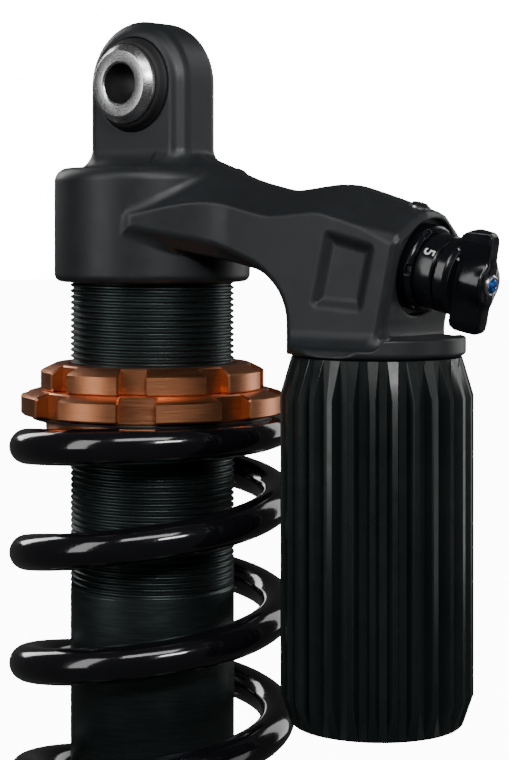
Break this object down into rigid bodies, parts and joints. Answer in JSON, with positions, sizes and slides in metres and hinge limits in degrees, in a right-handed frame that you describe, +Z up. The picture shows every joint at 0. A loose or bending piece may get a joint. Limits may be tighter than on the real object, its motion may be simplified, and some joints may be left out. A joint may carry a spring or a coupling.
{
  "type": "coil-over rear shock absorber",
  "caption": "Coil-over rear shock with a piggyback reservoir: eyelet at each end, threaded body with copper preload rings, helical spring and a finned gas reservoir with a wing-shaped adjuster.",
  "frame": {"origin": "centre of the upper eye's bore", "axes": "+Z up along the shock's axis from the lower eye to the upper eye, +X from that axis to the reservoir, Y along both eye bores"},
  "size_m": [0.1399, 0.0735, 0.3112],
  "materials": {
    "head_black": "satin black anodised over a fine bead-blasted skin",
    "tube_black": "dark green-black anodised, turned and brushed around",
    "reservoir_black": "semi-gloss black anodised",
    "knob_black": "gloss black anodised",
    "copper_anodised": "satin copper anodised, turned",
    "aluminium_bare": "machined and turned, bright",
    "spring_black": "gloss black powder coat",
    "steel": "ground steel",
    "steel_black": "black oxide steel",
    "hard_chrome": "hard chromed and polished",
    "bronze": "sintered bronze",
    "brass": "machined brass",
    "rubber": "moulded nitrile rubber, matt",
    "urethane": "microcellular urethane, matt",
    "ptfe": "filled PTFE",
    "plastic_black": "moulded black plastic",
    "blue_anodised": "blue anodised",
    "red_anodised": "red anodised"
  },
  "bodies": {
    "head": {"head_casting": "head_black", "bleed_screw": "steel_black", "bleed_washer": "aluminium_bare", "upper_eye_bush": "bronze", "upper_lip_seals": "rubber", "damper_tube": "tube_black", "seal_head": "head_black", "gland_o_ring": "rubber", "shaft_bush": "bronze", "shaft_seal": "rubber", "shaft_wiper": "rubber", "coil_spring": "spring_black", "reservoir_can": "reservoir_black", "neck_o_ring": "rubber", "reservoir_end_cap": "reservoir_black", "cap_o_ring": "rubber", "cap_circlip": "steel_black", "air_valve": "brass", "valve_cap": "plastic_black", "valve_body": "knob_black", "dial_ring": "knob_black", "detent_ball": "steel", "detent_spring": "steel"},
    "upper_spacers": {"upper_spacer_left": "aluminium_bare", "upper_spacer_right": "aluminium_bare"},
    "shaft": {"damper_shaft": "hard_chrome", "top_out_bumper": "urethane", "shim_washer": "steel", "rebound_shims": "steel", "main_piston": "aluminium_bare", "piston_band": "ptfe", "compression_shims": "steel", "piston_nut": "steel", "bump_washer": "steel_black", "bump_stop": "urethane", "lower_eyelet": "head_black", "lower_eye_bush": "bronze", "lower_lip_seals": "rubber", "lower_spring_perch": "head_black"},
    "lower_spacers": {"lower_spacer_left": "aluminium_bare", "lower_spacer_right": "aluminium_bare"},
    "rebound_knob": {"rebound_knob": "red_anodised"},
    "rebound_rod": {"rebound_rod": "aluminium_bare"},
    "preload_washer": {"thrust_washer": "plastic_black"},
    "preload_collar": {"preload_collar": "copper_anodised"},
    "lock_ring": {"lock_ring": "copper_anodised"},
    "floating_piston": {"floating_piston": "aluminium_bare", "floating_o_ring": "rubber"},
    "valve_pin": {"valve_pin": "brass"},
    "wing_knob": {"wing_knob": "knob_black", "knob_retainer": "aluminium_bare", "valve_spindle": "steel"},
    "low_speed_screw": {"low_speed_screw": "blue_anodised"}
  },
  "joints": [
    {"name": "shaft_stroke", "type": "slide", "parent": "head", "child": "shaft", "axis": [0, 0, 1], "range_m": [0, 0.055], "stiffness_N_per_m": 44000, "deforming": ["coil_spring"]},
    {"name": "upper_pivot", "type": "hinge", "parent": "head", "child": "upper_spacers", "pos_m": [0, 0, 0], "axis": [0, 1, 0], "range_deg": [-20, 20]},
    {"name": "lower_pivot", "type": "hinge", "parent": "shaft", "child": "lower_spacers", "pos_m": [0, 0, -0.28], "axis": [0, 1, 0], "range_deg": [-20, 20]},
    {"name": "rebound_rod_lift", "type": "slide", "parent": "shaft", "child": "rebound_rod", "axis": [0, 0, 1], "range_m": [0, 0.0015]},
    {"name": "rebound_turn", "type": "hinge", "parent": "shaft", "child": "rebound_knob", "pos_m": [0, 0, -0.2642], "axis": [0, -1, 0], "range_deg": [0, 720.5]},
    {"name": "preload_travel", "type": "slide", "parent": "head", "child": "preload_washer", "axis": [0, 0, 1], "range_m": [0, 0.012]},
    {"name": "preload_turn", "type": "hinge", "parent": "preload_washer", "child": "preload_collar", "pos_m": [0, 0, -0.08], "axis": [0, 0, 1], "range_deg": [0, 2880.5]},
    {"name": "lock_ring_turn", "type": "hinge", "parent": "preload_collar", "child": "lock_ring", "pos_m": [0, 0, -0.074], "axis": [0, 0, 1], "range_deg": [0, 45]},
    {"name": "floating_piston_slide", "type": "slide", "parent": "head", "child": "floating_piston", "axis": [0, 0, -1], "range_m": [0, 0.0109]},
    {"name": "valve_pin_press", "type": "slide", "parent": "head", "child": "valve_pin", "axis": [0, 0, 1], "range_m": [0, 0.001], "stiffness_N_per_m": 400},
    {"name": "wing_knob_turn", "type": "hinge", "parent": "head", "child": "wing_knob", "pos_m": [0.0825, 0, -0.0451], "axis": [0.9755, 0, -0.2198], "range_deg": [-120, 120]},
    {"name": "low_speed_turn", "type": "hinge", "parent": "wing_knob", "child": "low_speed_screw", "pos_m": [0.0825, 0, -0.0451], "axis": [0.9755, 0, -0.2198], "range_deg": [-360, 360]}
  ],
  "couplings": [
    {"joint": "rebound_turn", "follows": "rebound_rod_lift", "rad_per_m": 8377.6},
    {"joint": "preload_turn", "follows": "preload_travel", "rad_per_m": 4188.8},
    {"joint": "floating_piston_slide", "follows": "shaft_stroke", "ratio": 0.19753}
  ]
}
